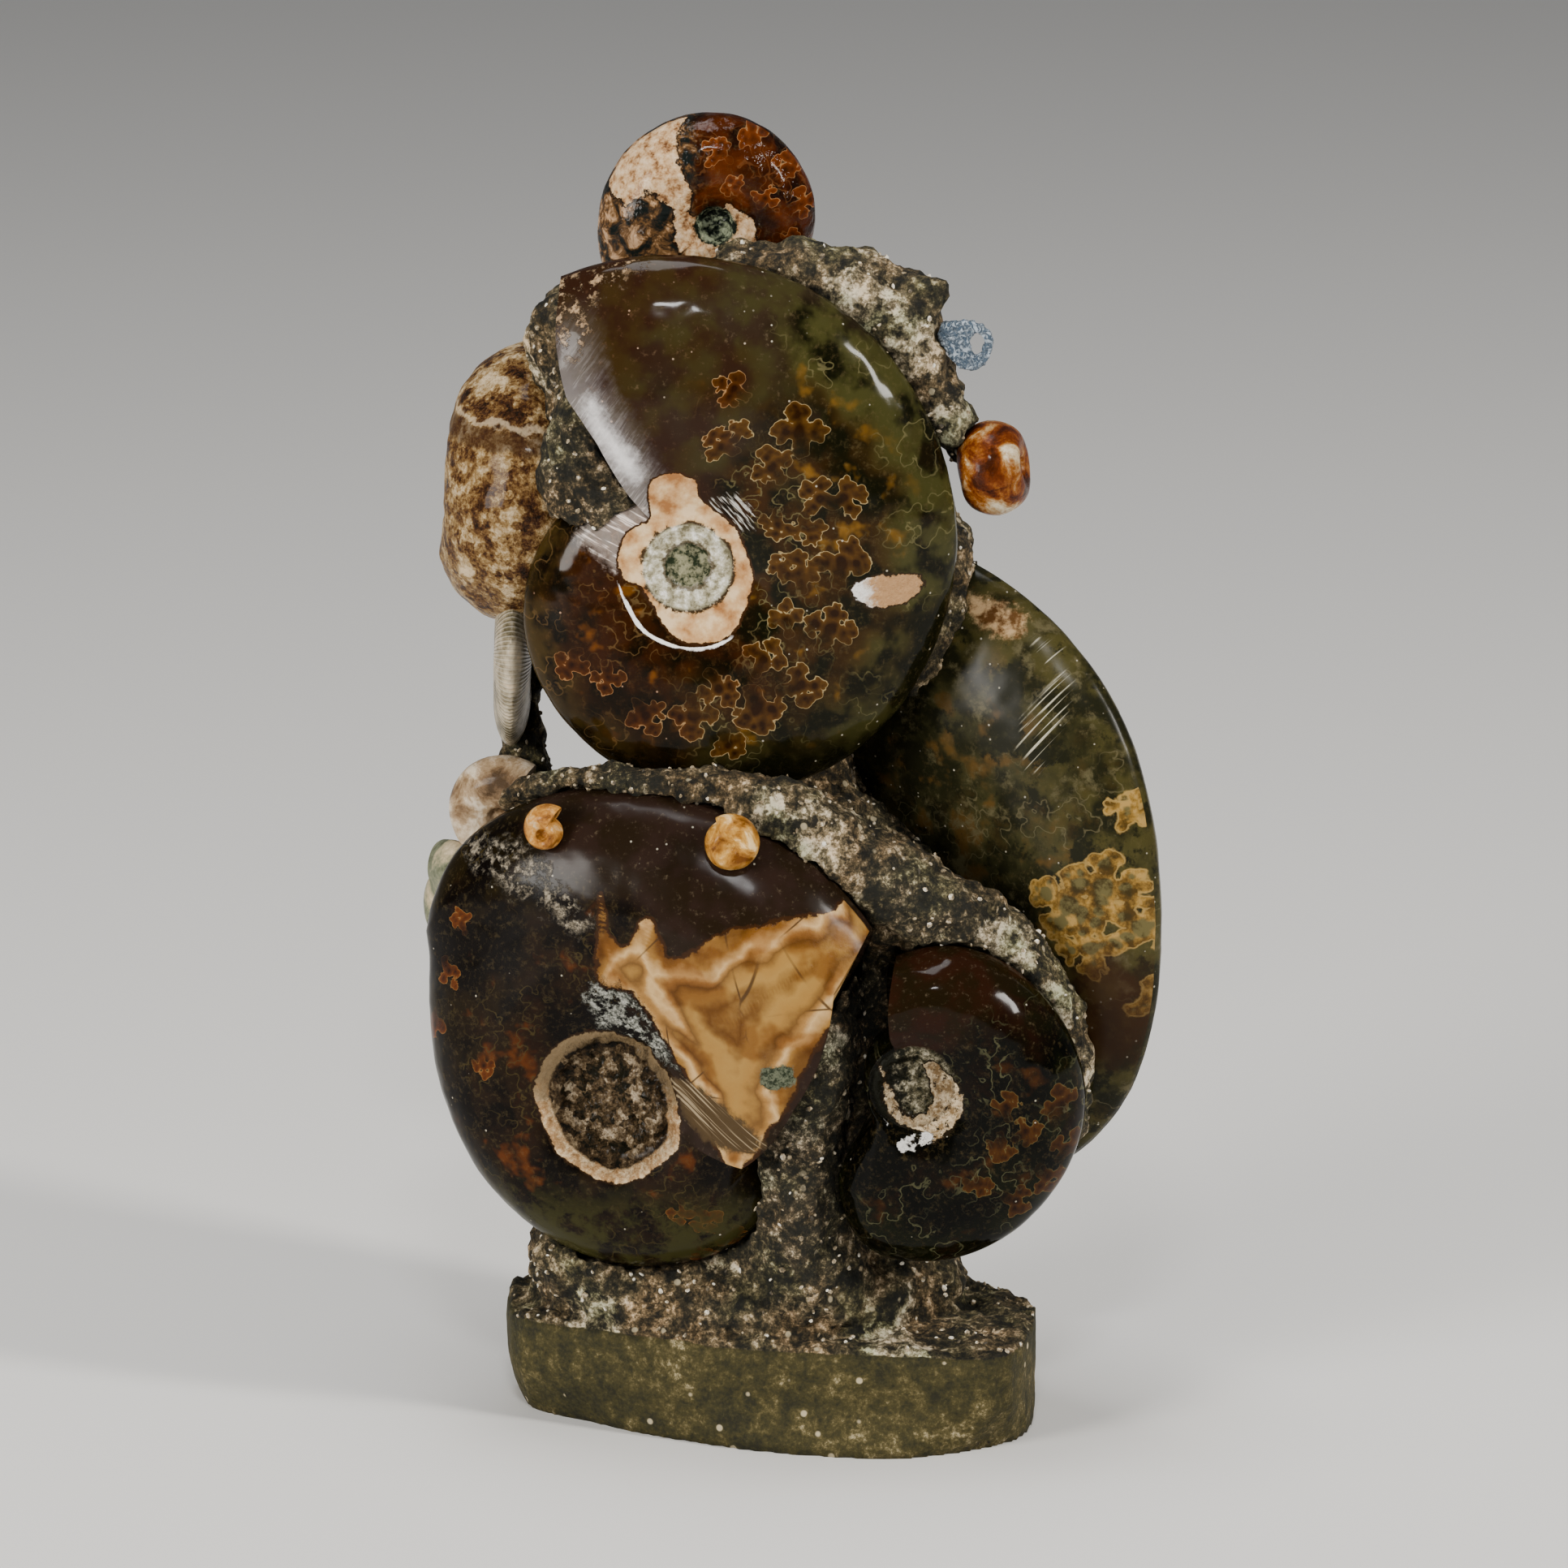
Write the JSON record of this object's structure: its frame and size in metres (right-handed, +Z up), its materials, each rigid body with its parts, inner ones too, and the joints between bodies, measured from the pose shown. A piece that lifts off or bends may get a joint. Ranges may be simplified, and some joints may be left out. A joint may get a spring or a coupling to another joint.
{
  "type": "ammonite cluster specimen",
  "caption": "Upright cluster of polished coiled fossil shells standing out of rough grey-green rock, on a base cut from the same rock that rests flat.",
  "frame": {"origin": "a point under the middle of the cluster, on the flat underside of the base", "axes": "+Z up, the height of the cluster; -Y towards the side that is looked at; +X to that viewer's right"},
  "size_m": [0.1375, 0.0901, 0.244],
  "materials": {
    "ammonite_upper_front": "polished fossil shell, glassy",
    "ammonite_lower_left": "polished fossil shell, glassy",
    "ammonite_lower_right": "polished fossil shell, glassy",
    "ammonite_right": "polished fossil shell, glassy",
    "ammonite_top": "polished fossil shell, glassy",
    "ammonite_left": "polished fossil shell, glassy",
    "ammonite_left_narrow": "polished fossil shell, glassy",
    "ammonite_left_shoulder": "polished fossil shell, glassy",
    "ammonite_left_low": "polished fossil shell, glassy",
    "ammonite_far_right": "polished fossil shell, glassy",
    "juvenile_round": "polished fossil shell, glassy",
    "juvenile_broken": "polished fossil shell, glassy",
    "matrix": "rough granular rock, sawn smoother on the base's sides",
    "pierced_flake": "thin, milky and translucent"
  },
  "bodies": {
    "root": {"ammonite_upper_front": "ammonite_upper_front", "ammonite_lower_left": "ammonite_lower_left", "ammonite_lower_right": "ammonite_lower_right", "ammonite_right": "ammonite_right", "ammonite_top": "ammonite_top", "ammonite_left": "ammonite_left", "ammonite_left_narrow": "ammonite_left_narrow", "ammonite_left_shoulder": "ammonite_left_shoulder", "ammonite_left_low": "ammonite_left_low", "ammonite_far_right": "ammonite_far_right", "juvenile_round": "juvenile_round", "juvenile_broken": "juvenile_broken", "matrix": "matrix", "pierced_flake": "pierced_flake"}
  },
  "joints": []
}
